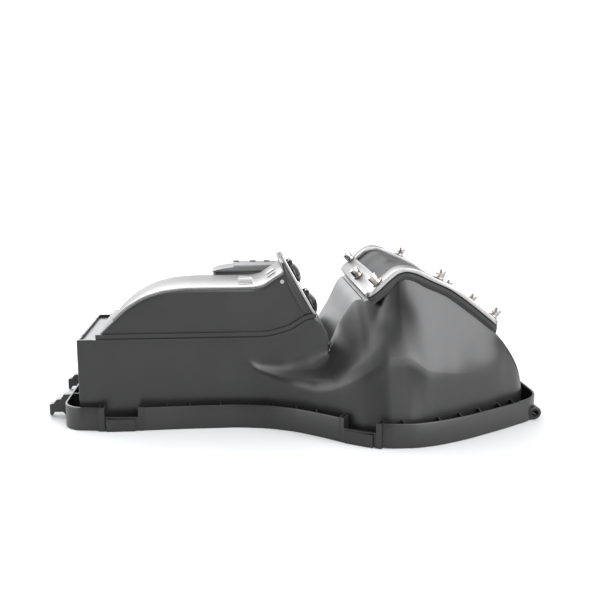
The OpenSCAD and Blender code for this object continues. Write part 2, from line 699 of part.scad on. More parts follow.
// lid of the rear unit: stepped, with a low nose at the left and three catches on its far edge
module actuator_lid() color([0.09, 0.09, 0.095]) place() {
    z0 = unit_top - unit_lid_t + 0.01;
    difference() {
        union() {
            across(unit_near - 1, unit_far + 1, [[unit_left - 1, z0], [unit_right - 7, z0], [unit_right, z0 + 2],
                [unit_right, unit_top - 1], [unit_right - 1, unit_top], [39, unit_top], [37.6, unit_top - 2.4],
                [25, unit_top - 3.8], [18, unit_top - 5.2], [unit_left, z0 + 1.2], [unit_left - 1, z0 + 0.6]]);
            for (x = [41, 61, 78])
                translate([x - 3.5, unit_far - 5, unit_top - 0.2])
                    cube([7, 6, 1.4]);
        }
        translate([unit_left + 4, unit_near + unit_wall, z0 - 1])
            cube([unit_right - 16 - unit_left, unit_far - unit_near - 2 * unit_wall, 3.4]);
        across(unit_near - 3, unit_near + 7, [[0, unit_top - 9], [100, unit_top - 9], [100, unit_top - 8.9], [0, unit_top - 8.9]]);
        translate([0, unit_near - 1, unit_top + 2.4])
            rotate([0, 90, 0])
                linear_extrude(height = 110)
                    polygon([[-4, -4], [8, -4], [8, 0], [3.6, 4.5], [2.2, 9], [-4, 9]]);
    }
}
module actuator_screws() color([0.6, 0.6, 0.62]) place() {
    for (p = unit_spots)
        translate([p[0], p[1], 101.4]) {
            cylinder(r = 1.55, h = 8.6, $fn = fine);
            translate([0, 0, 109.46 - 101.4])
                difference() {
                    cylinder(r = 3, h = 3.2, $fn = fine);
                    translate([0, 0, 1.6])
                        cylinder(r = 1.3, h = 3, $fn = hex);
                }
        }
}

// window on the hump: gasket, membrane, clamp frame and its fasteners
corner_r = 9;
module frame_cut() {
    for (p = [[frame_left, frame_near, 0], [frame_right, frame_near, 90], [frame_right, frame_far, 180], [frame_left, frame_far, 270]])
        translate([p[0], p[1], 60])
            rotate([0, 0, p[2]])
                difference() {
                    translate([-9, -9, 0])
                        cube([corner_r + 9, corner_r + 9, 150]);
                    translate([corner_r, corner_r, -1])
                        cylinder(r = corner_r, h = 152, $fn = fine);
                }
}
module window_cut(grow) {
    translate([window_left - grow, frame_near + strip_w - grow, 60])
        cube([window_right - window_left + 2 * grow, frame_far - frame_near - 2 * strip_w + 2 * grow, 150]);
}
module window_gasket() color([0.03, 0.03, 0.03]) place() {
    difference() {
        top_band(frame_near, frame_far, -lip_in + eps, -membrane_t - 0.1);
        frame_cut();
        window_cut(0);
        at_bolts(-lip_in - 2)
            cylinder(r = bolt_r + 0.3, h = 12, $fn = fine);
    }
}
module window_membrane() color([0.2, 0.2, 0.21]) place() {
    difference() {
        top_band(frame_near + 0.6, frame_far - 0.6, -membrane_t + eps, -0.05, frame_left + 0.6, frame_right - 0.6);
        frame_cut();
        at_bolts(-lip_in - 2)
            cylinder(r = bolt_r + 0.3, h = 12, $fn = fine);
    }
}
module clamp_frame() color([0.85, 0.85, 0.86]) place() {
    difference() {
        top_band(frame_near, frame_far, 0, frame_t);
        frame_cut();
        window_cut(0);
        at_bolts(-2)
            cylinder(r = bolt_r + 0.3, h = 12, $fn = fine);
    }
}
seat_rise = 0.45;
module frame_washers() color([0.7, 0.7, 0.72]) place() {
    at_bolts(frame_t + seat_rise)
        difference() {
            cylinder(r = head_r + 1, h = washer_t, $fn = fine);
            translate([0, 0, -1])
                cylinder(r = bolt_r + 0.25, h = washer_t + 2, $fn = fine);
        }
}
module spring_washers() color([0.6, 0.6, 0.62]) place() {
    at_bolts(frame_t + seat_rise + washer_t + eps)
        difference() {
            cylinder(r = head_r - 0.2, h = spring_t, $fn = fine);
            translate([0, 0, -1])
                cylinder(r = bolt_r + 0.25, h = spring_t + 2, $fn = fine);
            translate([0, -0.5, -1])
                rotate([12, 0, 0])
                    cube([12, 0.9, 8]);
        }
}
module frame_screws() color([0.75, 0.75, 0.77]) place() {
    base = frame_t + seat_rise + washer_t + spring_t + 2 * eps;
    shank = base + lip_in + insert_len - 1;
    at_bolts(base)
        difference() {
            union() {
                translate([0, 0, -shank])
                    cylinder(r = bolt_r, h = shank + 1, $fn = fine);
                cylinder(r = head_r, h = head_h, $fn = fine);
            }
            translate([0, 0, head_h - 3.2])
                cylinder(r = 2.9, h = 4, $fn = hex);
        }
}
module insert_nuts() color([0.75, 0.6, 0.3]) place() {
    at_bolts(-lip_in - insert_len)
        difference() {
            cylinder(r = insert_r - 0.02, h = insert_len - 0.6, $fn = fine);
            translate([0, 0, -1])
                cylinder(r = bolt_r + 0.04, h = insert_len + 2, $fn = fine);
        }
}
module knuckle_sleeve() color([0.3, 0.3, 0.32]) place() {
    translate([knuckle_x, knuckle_y - 0.4, knuckle_z])
        rotate([-90, 0, 0])
            difference() {
                cylinder(r = knuckle_hole_r + 1.19, h = knuckle_len + 0.8, $fn = fine);
                translate([0, 0, -1])
                    cylinder(r = knuckle_hole_r, h = knuckle_len + 4, $fn = fine);
            }
}

lower_shell();
base_seal();
duct_seal();
duct_shell();
cover_plate();
cover_rivets();
port_block();
port_gasket();
port_plate();
port_screws();
hinge_lugs();
hinge_pins();
upper_flap();
upper_pad();
lower_flap();
lower_pad();
actuator_housing();
actuator_lid();
actuator_screws();
window_gasket();
window_membrane();
clamp_frame();
frame_washers();
spring_washers();
frame_screws();
insert_nuts();
knuckle_sleeve();
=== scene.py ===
import bpy
import bmesh
import json
import random
from math import cos, exp, pi, radians, sin, sqrt
from mathutils import Matrix, Vector


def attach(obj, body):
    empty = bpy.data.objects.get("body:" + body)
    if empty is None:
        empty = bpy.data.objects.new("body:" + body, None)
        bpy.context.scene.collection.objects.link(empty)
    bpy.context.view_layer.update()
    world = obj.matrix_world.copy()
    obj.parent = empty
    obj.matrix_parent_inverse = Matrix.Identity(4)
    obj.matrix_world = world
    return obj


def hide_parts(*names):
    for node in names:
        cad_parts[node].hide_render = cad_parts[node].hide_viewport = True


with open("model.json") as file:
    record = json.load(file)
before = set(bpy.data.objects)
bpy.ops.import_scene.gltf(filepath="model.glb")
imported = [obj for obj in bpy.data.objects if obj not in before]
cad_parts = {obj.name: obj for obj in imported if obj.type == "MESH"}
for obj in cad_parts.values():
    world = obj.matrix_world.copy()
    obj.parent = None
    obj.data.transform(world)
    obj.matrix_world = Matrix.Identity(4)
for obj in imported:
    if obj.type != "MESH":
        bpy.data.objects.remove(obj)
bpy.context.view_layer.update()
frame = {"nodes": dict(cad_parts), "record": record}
nodes = frame["nodes"]

# ---------------------------------------------------------------- sizes, mm, as in the part's source
MM = 0.001
MID_X, MID_Y = 102.5, 78.15
RIM_H, BAND_T, RIM_OUT, FLANGE_T = 25.0, 2.6, 14.0, 3.0
LEFT_R, RIGHT_R, RIM_LEFT, RIM_RIGHT, RIM_BACK = 25.0, 47.0, -144.0, 372.0, 232.0
LEFT_Y, LEFT_Y2 = 27.0, 141.0
SEAT_W, PAD_H, PAD_OUT = 35.0, 13.0, 1.6
POST_W, POST_DEPTH, POST_T = 6, 11, 1.6
CLIP_SEATS = [(-81.5, -2.8, -1, 1), (161, -64.5, -33, 1), (-60, 166, 0, -1), (230, RIM_BACK, 0, -1)]
RIBS_NEAR = [-35, -10.6, 22, 52.4, 78, 102, 122, 205, 243, 268, 292, 318, 336]
RIBS_FAR = [-100, -55, -10, 35, 80, 120, 165, 255, 300]
RIBS_END = [60, 95, 130, 165]
WALL_T, BOX_LEFT, BOX_NEAR, BOX_FAR, BOX_H, STEP_H = 3.0, -127.0, 13.0, 152.0, 95.0, 3.0
HUMP_NEAR, HUMP_FAR, WALL_RIGHT = -9.5, 199.5, 357.0
DUCT_NEAR, DUCT_FAR, ARCH_LEFT, DUCT_T, FOOT_T, SEAL_T = 14.6, 111.0, -107.0, 2.8, 4.0, 1.5
DUCT_ROUND, FOOT_END = 4, 122
UNIT_HOLES = [(30, 118.6), (76, 118.6), (30, 144.4), (76, 144.4)]
COVER_T, COVER_LEFT, COVER_NEAR, COVER_FAR, COVER_END = 1.5, -89.3, 18.6, 107.0, 91.4
SLOT_X, SLOT_YS, SLOT_R, SLOT_REACH, SLOT_SLOPE = 79.4, (44, 65), 3.25, 2.4, 31
TAB_YS = (35, 88)
PLATE_T, SLOPE, GASKET_T, BLOCK_T = 2.5, 61.0, 0.8, 8.5
FRAME_T, FRAME_NEAR, FRAME_FAR, STRIP_W = 4.0, -12.0, 202.0, 22.0
FRAME_LEFT, FRAME_RIGHT, WINDOW_LEFT, WINDOW_RIGHT = 176.5, 317.0, 191.5, 302.0
MEMBRANE_T, SEAT_T, LIP_T = 1.6, 4.0, 3.5
LIP_IN = MEMBRANE_T + SEAT_T
CORNER_R = 9.0
BOLT_HOLE_R, INSERT_R, BOSS_R = 3.3, 4.2, 7.5
BOLTS = [(191, 0), (251, 0), (309.5, 0), (191, 192), (248, 192), (309.5, 192), (184, 86), (309.5, 86)]
KNUCKLE_X, KNUCKLE_Y, KNUCKLE_Z, KNUCKLE_LEN = 364.5, -3.0, 7.6, 14.0
KNUCKLE_R, KNUCKLE_BORE = 7, 4.5
WELD_GAP = 0.002


def place(p):
    """A point in the source's millimetres as one in the part's frame, in metres."""
    return Vector(((p[0] - MID_X) * MM, (p[1] - MID_Y) * MM, p[2] * MM))


# ---------------------------------------------------------------- the shell's curves
def slope(xs, ys, i):
    """Slope of the smooth curve at station i, flat where the stations turn back."""
    if i == 0:
        return (ys[1] - ys[0]) / (xs[1] - xs[0])
    if i == len(xs) - 1:
        return (ys[i] - ys[i - 1]) / (xs[i] - xs[i - 1])
    a = (ys[i] - ys[i - 1]) / (xs[i] - xs[i - 1])
    b = (ys[i + 1] - ys[i]) / (xs[i + 1] - xs[i])
    return 0 if a * b <= 0 else 2 * a * b / (a + b)


def curve(xs, ys, x):
    """Value at x of the smooth curve through the stations."""
    i = 0
    while i < len(xs) - 2 and x > xs[i + 1]:
        i += 1
    h = xs[i + 1] - xs[i]
    t = min(max((x - xs[i]) / h, 0), 1)
    m, n = slope(xs, ys, i) * h, slope(xs, ys, i + 1) * h
    return ((2 * t**3 - 3 * t * t + 1) * ys[i] + (t**3 - 2 * t * t + t) * m
            + (3 * t * t - 2 * t**3) * ys[i + 1] + (t**3 - t * t) * n)


NEAR_X = [-119, -73, 0, 32, 63, 95, 124, 147, 171, 194, 212, 230, 264, 304, 329, 349.2]
NEAR_Y = [2, -3, -1, -1, -5, -17, -37, -56, -70, -76.5, -77, -74, -61, -39, -24, -10.7]
FAR_X = [-119, 60, 100, 140, 175, 210, 325]
FAR_Y = [166, 166, 173, 198, 222, RIM_BACK, RIM_BACK]
ARC_X, ARC_Y, ARC_Y2, ARC_A = RIM_RIGHT - RIGHT_R, 29.6, RIM_BACK - RIGHT_R, -59.0
BOX_STRAIGHT, ARC_START = 40, 342


def rim_near(x):
    return curve(NEAR_X, NEAR_Y, x)


def rim_far(x):
    return curve(FAR_X, FAR_Y, x)


def tilt(x):
    return (rim_near(x + 1) - rim_near(x - 1)) / 2


def tilt_far(x):
    return (rim_far(x + 1) - rim_far(x - 1)) / 2


def arc_points(cx, cy, r, angles):
    return [(cx + r * cos(radians(w)), cy + r * sin(radians(w))) for w in angles]


def rim_side(x, outline, lean, d, way):
    k = lean(x)
    s = sqrt(1 + k * k)
    return (x - way * d * k / s, outline(x) + way * d / s)


def rim_loop(d):
    """The rim's outline from above, moved in by d, once round from the near left corner."""
    left, right = LEFT_R - d, RIGHT_R - d
    near = [NEAR_X[0] + (NEAR_X[-1] - NEAR_X[0]) * i / 110 for i in range(111)]
    far = [FAR_X[-1] - (FAR_X[-1] - FAR_X[0]) * i / 80 for i in range(81)]
    return (arc_points(RIM_LEFT + LEFT_R, LEFT_Y, left, [180 + 90 * a / 12 for a in range(12)])
            + [rim_side(x, rim_near, tilt, d, 1) for x in near]
            + arc_points(ARC_X, ARC_Y, right, [ARC_A * (1 - a / 14) for a in range(1, 15)])
            + arc_points(ARC_X, ARC_Y2, right, [90 * a / 20 for a in range(20)])
            + [rim_side(x, rim_far, tilt_far, d, -1) for x in far]
            + arc_points(RIM_LEFT + LEFT_R, LEFT_Y2, left, [90 + 90 * a / 12 for a in range(1, 13)]))


def foot_near(x):
    r = RIGHT_R - RIM_OUT
    if x > ARC_START:
        return ARC_Y - sqrt(max(r * r - (x - ARC_X) ** 2, 0))
    if x < BOX_STRAIGHT:
        return BOX_NEAR
    return min(BOX_NEAR, rim_near(x) + RIM_OUT * sqrt(1 + tilt(x) ** 2))


def foot_far(x):
    r = RIGHT_R - RIM_OUT
    if x > ARC_X:
        return ARC_Y2 + sqrt(max(r * r - (x - ARC_X) ** 2, 0))
    return max(BOX_FAR, rim_far(x) - RIM_OUT * sqrt(1 + tilt_far(x) ** 2))


FRAME_X = [176.5, 188, 199, 208, 216, 224, 243, 262, 272, 290, 317]
FRAME_Z = [139, 148, 158.4, 165, 167, 165.6, 157, 148.3, 142, 128.6, 106.7]
LEFT_RISE = 0.8


def top_z(x):
    """Height of the clamp frame's underside, carried on straight past its left edge."""
    return FRAME_Z[0] + LEFT_RISE * (x - FRAME_LEFT) if x <= FRAME_LEFT else curve(FRAME_X, FRAME_Z, x)


def top_k(x):
    return top_z(x + 0.5) - top_z(x - 0.5)


def top_p(x, d):
    """The point d off the frame's underside along its normal, as (x, z)."""
    k = top_k(x)
    s = sqrt(1 + k * k)
    return (x - d * k / s, top_z(x) + d / s)


# guide points of the shell's section at each station along X
ST = [BOX_LEFT, 40, 66, 95, 121, 126, 137.5, 139, 147, 157, 170, 178,
      194, 210, 234, 262, 290, 317, 330, 345, 352, 357]
KNEE_Y = [13, 13, 8, -2, -17, -20, -28, -29, -35, -40, -42, -42, -41, -42, -50, -41, -27, -13, -3, 8, 15, 22]
KNEE_Z = [66, 66, 57, 50, 49, 50, 54, 55, 60, 67, 76, 82, 92, 94, 80, 74, 70, 65, 60, 50, 40, 27]
WAIST_Y = [13, 13, 13, 12, 12, 12, 12, 14, 6, 1, -4, -11, -18, -22, -29, -25, -18, -10, -2, 9, 16, 23]
WAIST_Z = [82, 80, 66, 63, 66, 67, 72, 75, 80, 88, 100, 106, 116, 125, 119, 106, 93, 81, 74, 58, 44, 28]
CREST_Y = [13, 13, 13, 13, 13, 13, 13, 17, 36, 50, 44, 24, -7] + [HUMP_NEAR] * 5 + [-3, 8, 16, 24]
CREST_Z = [95, 95, 95, 101, 113.5, 112.5, 96.5, 84, 93, 106, 127, 133]
BACK_Y = [152, 152, 152, 152, 152, 152, 154, 157, 166, 176, 190] + [HUMP_FAR] * 7 + [197, 192, 186, 180]
KNEE2_Y = [152, 152, 152, 154, 160, 163, 172, 174, 182, 190, 200,
           206, 211, 213, 214, 214, 213, 210, 206, 199, 192, 182]
KNEE2_Z = [66, 66, 60, 58, 60, 60, 62, 63, 66, 70, 78, 84, 90, 92, 88, 78, 72, 66, 60, 50, 40, 27]
# crest beyond the frame, down to the hump's foot
END_X = [317, 326, 335, 343, 350, 355, 357]
END_Z = [96.5, 86.5, 75, 62.5, 49, 36, 28.5]
SKIN_DROP = 2
# how far the knee, the waist and the crest sink for each mm that the section moves in
SINK = (0.4, 0.8, 1.1)


def crest(x):
    if x <= ST[11]:
        return curve(ST[:12], CREST_Z, x)
    if x <= FRAME_RIGHT:
        return top_z(x) - (LIP_IN + SKIN_DROP) * sqrt(1 + top_k(x) ** 2)
    return curve(END_X, END_Z, x)


def lerp(a, b, t):
    return (a[0] + (b[0] - a[0]) * t, a[1] + (b[1] - a[1]) * t)


def ease(a, b, c, n):
    """A bend from a to c with b as its guide."""
    out = []
    for i in range(n + 1):
        t = i / n
        out.append(tuple((1 - t) ** 2 * a[j] + 2 * t * (1 - t) * b[j] + t * t * c[j] for j in (0, 1)))
    return out


def line(a, b, n):
    return [lerp(a, b, i / n) for i in range(1, n)]


def half(f, k, w, c, way, d, below, round_r):
    """One side of the section, from its foot up to the crest's rounded edge, moved in by d."""
    f2 = (f + way * d, 0)
    k2, w2, c2 = [(p[0] + way * d, p[1] - d * share) for p, share in zip((k, w, c), SINK)]
    drop = min(k2[1] - 4, 9)
    a = (f2[0] + (k2[0] - f2[0]) * 0.7, k2[1] - drop)
    b = lerp(k2, w2, 0.32)
    e = lerp(w2, k2, 0.34)
    g = lerp(w2, c2, 0.3)
    foot = (f2[0], below)
    size = sqrt((c2[0] - g[0]) ** 2 + (c2[1] - g[1]) ** 2)
    r = min(round_r, size * 0.5)
    h = lerp(c2, g, r / size)
    m = (c2[0] + way * r, c2[1])
    return ([foot] + line(foot, a, 8) + ease(a, k2, b, 12) + line(b, e, 3) + ease(e, w2, g, 12)
            + line(g, h, 6) + ease(h, c2, m, 5))


def ring(x, d, below=0.0, round_r=1.6):
    """The section at x as (y, z) points: up the near side, across the crest, down the far side."""
    knee = (curve(ST, KNEE_Y, x), curve(ST, KNEE_Z, x))
    waist = (curve(ST, WAIST_Y, x), curve(ST, WAIST_Z, x))
    near = half(foot_near(x), knee, waist, (curve(ST, CREST_Y, x), crest(x)), 1, d, below, round_r)
    back = curve(ST, BACK_Y, x)
    k2 = curve(ST, KNEE2_Z, x)
    far = half(foot_far(x), (curve(ST, KNEE2_Y, x), k2), (back, (k2 + crest(x)) / 2), (back, crest(x)),
               -1, d, below, round_r)
    mid = line(near[-1], far[-1], 14)
    return near + mid + far[::-1]


# ---------------------------------------------------------------- mesh helpers
def mesh_object(name, verts, faces):
    me = bpy.data.meshes.new(name)
    me.from_pydata([tuple(v) for v in verts], [], faces)
    me.validate()
    ob = bpy.data.objects.new(name, me)
    bpy.context.scene.collection.objects.link(ob)
    bm = bmesh.new()
    bm.from_mesh(me)
    bmesh.ops.recalc_face_normals(bm, faces=bm.faces)
    bm.to_mesh(me)
    bm.free()
    return ob


def tube(name, rings, closed=False):
    """Closed rings of 3-D points joined one to the next; open ends are capped."""
    n, m = len(rings[0]), len(rings)
    verts = [place(p) for r in rings for p in r]
    faces = []
    for i in range(m if closed else m - 1):
        k = (i + 1) % m
        for j in range(n):
            q = (j + 1) % n
            faces.append((i * n + j, i * n + q, k * n + q, k * n + j))
    if not closed:
        faces.append(tuple(range(n))[::-1])
        faces.append(tuple((m - 1) * n + j for j in range(n)))
    return mesh_object(name, verts, faces)


def across(name, y0, y1, pts):
    return tube(name, [[(x, y0, z) for x, z in pts], [(x, y1, z) for x, z in pts]])


def plate(name, z0, z1, pts):
    return tube(name, [[(x, y, z0) for x, y in pts], [(x, y, z1) for x, y in pts]])


def block(name, lo, hi):
    return plate(name, lo[2], hi[2], [(lo[0], lo[1]), (hi[0], lo[1]), (hi[0], hi[1]), (lo[0], hi[1])])


def turned(name, profile, origin, axis, steps=64):
    """Lathe of (radius, height) points about axis through origin, closed at both ends."""
    axis = Vector(axis).normalized()
    side = axis.orthogonal().normalized()
    other = axis.cross(side)
    turns = [2 * pi * i / steps for i in range(steps)]
    rings = []
    for r, h in profile:
        mid = Vector(origin) + axis * h
        rings.append([mid + (side * cos(w) + other * sin(w)) * r for w in turns])
    return tube(name, rings)


def bake_modifiers(ob):
    deps = bpy.context.evaluated_depsgraph_get()
    me = bpy.data.meshes.new_from_object(ob.evaluated_get(deps))
    ob.modifiers.clear()
    old = ob.data
    ob.data = me
    bpy.data.meshes.remove(old)


def boolean(ob, other, how):
    """Applies other to ob and removes other."""
    mod = ob.modifiers.new("b", "BOOLEAN")
    mod.operation = how
    mod.object = other
    mod.solver = "MANIFOLD"
    bake_modifiers(ob)
    bpy.data.objects.remove(other)


def smooth(ob, angle):
    for p in ob.data.polygons:
        p.use_smooth = True
    ob.data.set_sharp_from_angle(angle=radians(angle))


def bevel(ob, width, segments, angle):
    mod = ob.modifiers.new("edge", "BEVEL")
    mod.width = width * MM
    mod.segments = segments
    mod.limit_method = "ANGLE"
    mod.angle_limit = radians(angle)


# ---------------------------------------------------------------- materials
def new_material(name):
    """A node material, its tree, its shader and its object coordinates."""
    mat = bpy.data.materials.new(name)
    mat.use_nodes = True
    nt = mat.node_tree
    return mat, nt, nt.nodes["Principled BSDF"], nt.nodes.new("ShaderNodeTexCoord").outputs["Object"]


def noise(nt, coord, scale, detail, rough=0.55, stretch=None):
    n = nt.nodes.new("ShaderNodeTexNoise")
    n.inputs["Scale"].default_value = scale
    n.inputs["Detail"].default_value = detail
    n.inputs["Roughness"].default_value = rough
    if stretch:
        m = nt.nodes.new("ShaderNodeMapping")
        m.inputs["Scale"].default_value = stretch
        nt.links.new(coord, m.inputs["Vector"])
        nt.links.new(m.outputs["Vector"], n.inputs["Vector"])
    else:
        nt.links.new(coord, n.inputs["Vector"])
    return n.outputs["Fac"]


def ramp(nt, fac, stops):
    """A colour ramp of two stops, each a position and a colour."""
    r = nt.nodes.new("ShaderNodeValToRGB")
    for e, (pos, col) in zip(r.color_ramp.elements, stops):
        e.position = pos
        e.color = (*col, 1)
    nt.links.new(fac, r.inputs["Fac"])
    return r.outputs["Color"]


def feed(nt, shader, key, fac, stops):
    """Drives one input of the shader through a ramp."""
    nt.links.new(ramp(nt, fac, stops), shader.inputs[key])


def add_bump(nt, bsdf, heights):
    """heights: (socket, strength, distance in mm), stacked."""
    last = None
    for h, strength, dist in heights:
        b = nt.nodes.new("ShaderNodeBump")
        b.inputs["Strength"].default_value = strength
        b.inputs["Distance"].default_value = dist * MM
        nt.links.new(h, b.inputs["Height"])
        if last is not None:
            nt.links.new(last, b.inputs["Normal"])
        last = b.outputs["Normal"]
    nt.links.new(last, bsdf.inputs["Normal"])


def grey(v, warm=0.0):
    return (v * (1 + warm), v, v * (1 - warm))


def moulded(name, dark, light, rough_lo, rough_hi, grain=0.12, spec=0.5):
    mat, nt, b, co = new_material(name)
    feed(nt, b, "Base Color", noise(nt, co, 14, 5), [(0.3, grey(dark)), (0.7, grey(light))])
    flow = noise(nt, co, 9, 3, 0.5, (1, 2.6, 1))
    feed(nt, b, "Roughness", flow, [(0.3, grey(rough_lo)), (0.72, grey(rough_hi))])
    b.inputs["Specular IOR Level"].default_value = spec
    add_bump(nt, b, [(noise(nt, co, 45, 3), 0.05, 0.8), (noise(nt, co, 1900, 2), grain, 0.12)])
    return mat


def brushed(name, tone, rough_lo, rough_hi):
    along, warm = (6, 900, 900), 0.012
    mat, nt, b, co = new_material(name)
    streak = noise(nt, co, 1.6, 6, 0.7, along)
    cloud = noise(nt, co, 11, 4)
    mix = nt.nodes.new("ShaderNodeMix")
    mix.data_type = "RGBA"
    mix.blend_type = "MULTIPLY"
    mix.inputs["Factor"].default_value = 1.0
    feed(nt, mix, "A", streak, [(0.25, grey(tone * 0.9, warm)), (0.75, grey(tone, warm))])
    feed(nt, mix, "B", cloud, [(0.3, grey(0.93)), (0.65, grey(1.0))])
    nt.links.new(mix.outputs["Result"], b.inputs["Base Color"])
    feed(nt, b, "Roughness", streak, [(0.2, grey(rough_lo)), (0.8, grey(rough_hi))])
    b.inputs["Metallic"].default_value = 1.0
    b.inputs["Specular Tint"].default_value = (0.4, 0.4, 0.4, 1)
    add_bump(nt, b, [(streak, 0.16, 0.05), (cloud, 0.05, 0.6)])
    return mat


def plated(name, tone, rough):
    mat, nt, b, co = new_material(name)
    feed(nt, b, "Base Color", noise(nt, co, 160, 4), [(0.3, tuple(c * 0.86 for c in tone)), (0.7, tone)])
    feed(nt, b, "Roughness", noise(nt, co, 420, 3), [(0.3, grey(rough * 0.7)), (0.75, grey(rough * 1.5))])
    b.inputs["Metallic"].default_value = 1.0
    add_bump(nt, b, [(noise(nt, co, 900, 2), 0.1, 0.04)])
    return mat


def gloss(name):
    mat, nt, b, co = new_material(name)
    feed(nt, b, "Base Color", noise(nt, co, 60, 4), [(0.3, grey(0.010)), (0.75, grey(0.018))])
    feed(nt, b, "Roughness", noise(nt, co, 150, 5), [(0.35, grey(0.10)), (0.8, grey(0.2))])
    b.inputs["Coat Weight"].default_value = 0.6
    b.inputs["Coat Roughness"].default_value = 0.06
    add_bump(nt, b, [(noise(nt, co, 120, 2), 0.04, 0.3)])
    return mat


MAT = {
    "moulded_black": moulded("satin moulded black", 0.006, 0.010, 0.28, 0.36),
    "moulded_grey": moulded("satin moulded grey", 0.03, 0.045, 0.36, 0.5),
    "gloss_black": gloss("polished black"),
    "membrane_grey": moulded("membrane grey", 0.010, 0.017, 0.42, 0.54, 0.05, 0.08),
    "seal_rubber": moulded("seal rubber", 0.014, 0.022, 0.6, 0.75, 0.2, 0.35),
    "brushed_sheet": brushed("brushed sheet", 0.38, 0.28, 0.42),
    "bright_fastener": plated("bright plated", (0.43, 0.405, 0.38), 0.26),
    "black_steel": plated("black oxide steel", (0.035, 0.035, 0.037), 0.35),
    "insert_brass": plated("turned brass", (0.72, 0.52, 0.24), 0.3),
}


def paint(ob, slot_name):
    ob.data.materials.clear()
    ob.data.materials.append(MAT[slot_name])


def finish_piece(ob, body, slot_name, *replaced):
    paint(ob, slot_name)
    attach(ob, body)
    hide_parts(*replaced)


# ---------------------------------------------------------------- lower shell
def stations(a, b, step):
    n = max(2, int(round((b - a) / step)))
    return [a + (b - a) * i / n for i in range(n + 1)]


def shell_outer():
    """The outer skin, its box end rounded over."""
    r = 1.8
    edge = []
    for i in range(4):
        w = radians(22.5 * i)
        edge.append([(BOX_LEFT + r * (1 - cos(w)), y, z) for y, z in ring(BOX_LEFT + 0.1, r * (1 - sin(w)))])
    xs = (stations(BOX_LEFT + r, 40, 8) + stations(42, 134, 2) + [135.5, 136.5, 137.5, 138.2, 139]
          + stations(140.5, 352, 2.1) + stations(352.8, WALL_RIGHT, 0.7))
    return tube("outer", edge + [[(x, y, z) for y, z in ring(x, 0)] for x in xs])


def shell_inner():
    xs = stations(BOX_LEFT + WALL_T, 50, 12) + stations(55, 130, 5) + [133, 136] + stations(139, 352, 5)
    return tube("inner", [[(x, y, z) for y, z in ring(x, WALL_T, -5.0, 0.8)] for x in xs])


def top_band(name, y0, y1, d0, d1, step=2.2):
    """A strip that follows the clamp frame's curve between two depths."""
    xs = stations(FRAME_LEFT, FRAME_RIGHT, step)
    return across(name, y0, y1, [top_p(x, d0) for x in xs] + [top_p(x, d1) for x in xs[::-1]])


def foot_p(x, d):
    k = crest(x + 0.5) - crest(x - 0.5)
    s = sqrt(1 + k * k)
    return (x - d * k / s, crest(x) + d / s)


def foot_band(name, y0, y1, d0, d1, x0, x1):
    """A strip that follows the box's top, which bends only beyond x = 60."""
    xs = stations(x0, x1, 2.5) if x0 > 60 else stations(x0, 56, 20) + stations(60, x1, 2.5)
    return across(name, y0, y1, [foot_p(x, d0) for x in xs] + [foot_p(x, d1) for x in xs[::-1]])


def bolt_axis(b, d):
    """The point d off the frame's underside at a screw, and the screw's direction."""
    k = top_k(b[0])
    s = sqrt(1 + k * k)
    p = top_p(b[0], d)
    return (p[0], b[1], p[1]), (-k / s, 0, 1 / s)


def turn_about(ob, x, y, degrees, flip=1):
    """Turns and mirrors a mesh made about the origin and sets it down at (x, y), all in mm."""
    m = Matrix.Rotation(radians(degrees), 3, "Z") @ Matrix.Diagonal((1, flip, 1))
    base = place((0, 0, 0))
    here = place((x, y, 0))
    for v in ob.data.vertices:
        v.co = m @ (v.co - base) + here
    if flip < 0:
        ob.data.flip_normals()


def clip_seat(x, y, turn, way):
    """The gap to cut in the band, and the pad and pillars to add."""
    low, high = (-8, 5) if way > 0 else (-5, 8)
    gap = block("gap", (-SEAT_W / 2, low, PAD_H + 2), (SEAT_W / 2, high, RIM_H + 15))
    turn_about(gap, x, y, turn)
    adds = [block("pad", (-SEAT_W / 2 + 2, -PAD_OUT, 0), (SEAT_W / 2 - 3, BAND_T, PAD_H))]
    for s in (-1, 1):
        x0 = s * (SEAT_W / 2 + POST_W / 2) - POST_W / 2
        post = block("post", (x0, 0, 0), (x0 + POST_W, POST_DEPTH, RIM_H + 0.6))
        far = (x0 + (POST_W - POST_T), POST_DEPTH - POST_T, RIM_H + 8)
        well = block("well", (x0 + POST_T, POST_T, 8), far)
        boolean(post, well, "DIFFERENCE")
        adds.append(post)
    for a in adds:
        turn_about(a, x, y, turn, way)
    return gap, adds


def rib(x, y, turn, length):
    lo, hi, top = 1.3, 0.75, RIM_H - 1.2
    pts = [(-lo, 0, 0), (lo, 0, 0), (lo, length, 0), (-lo, length, 0),
           (-hi, 0, top), (hi, 0, top), (hi, length, top), (-hi, length, top)]
    faces = [(3, 2, 1, 0), (4, 5, 6, 7), (0, 1, 5, 4), (1, 2, 6, 5), (2, 3, 7, 6), (3, 0, 4, 7)]
    ob = mesh_object("rib", [place(p) for p in pts], faces)
    turn_about(ob, x, y, turn)
    return ob


def hook(y, root):
    pts = [(root, 25), (-146, 25), (-150.6, 24.8), (-152, 24.2), (-154, 20.4), (-155, 19.6), (-159, 19),
           (-160, 18.6), (-162, 15.4), (-163, 14.6), (-166, 14.2), (-167, 13.4), (-167, 3), (-166.4, 1.4),
           (-165, 0.5), (-163, 3), (-162.2, 5), (-153, 5), (-149, 0.1), (root, 0.1)]
    return across("hook", y - 4, y + 4, pts)


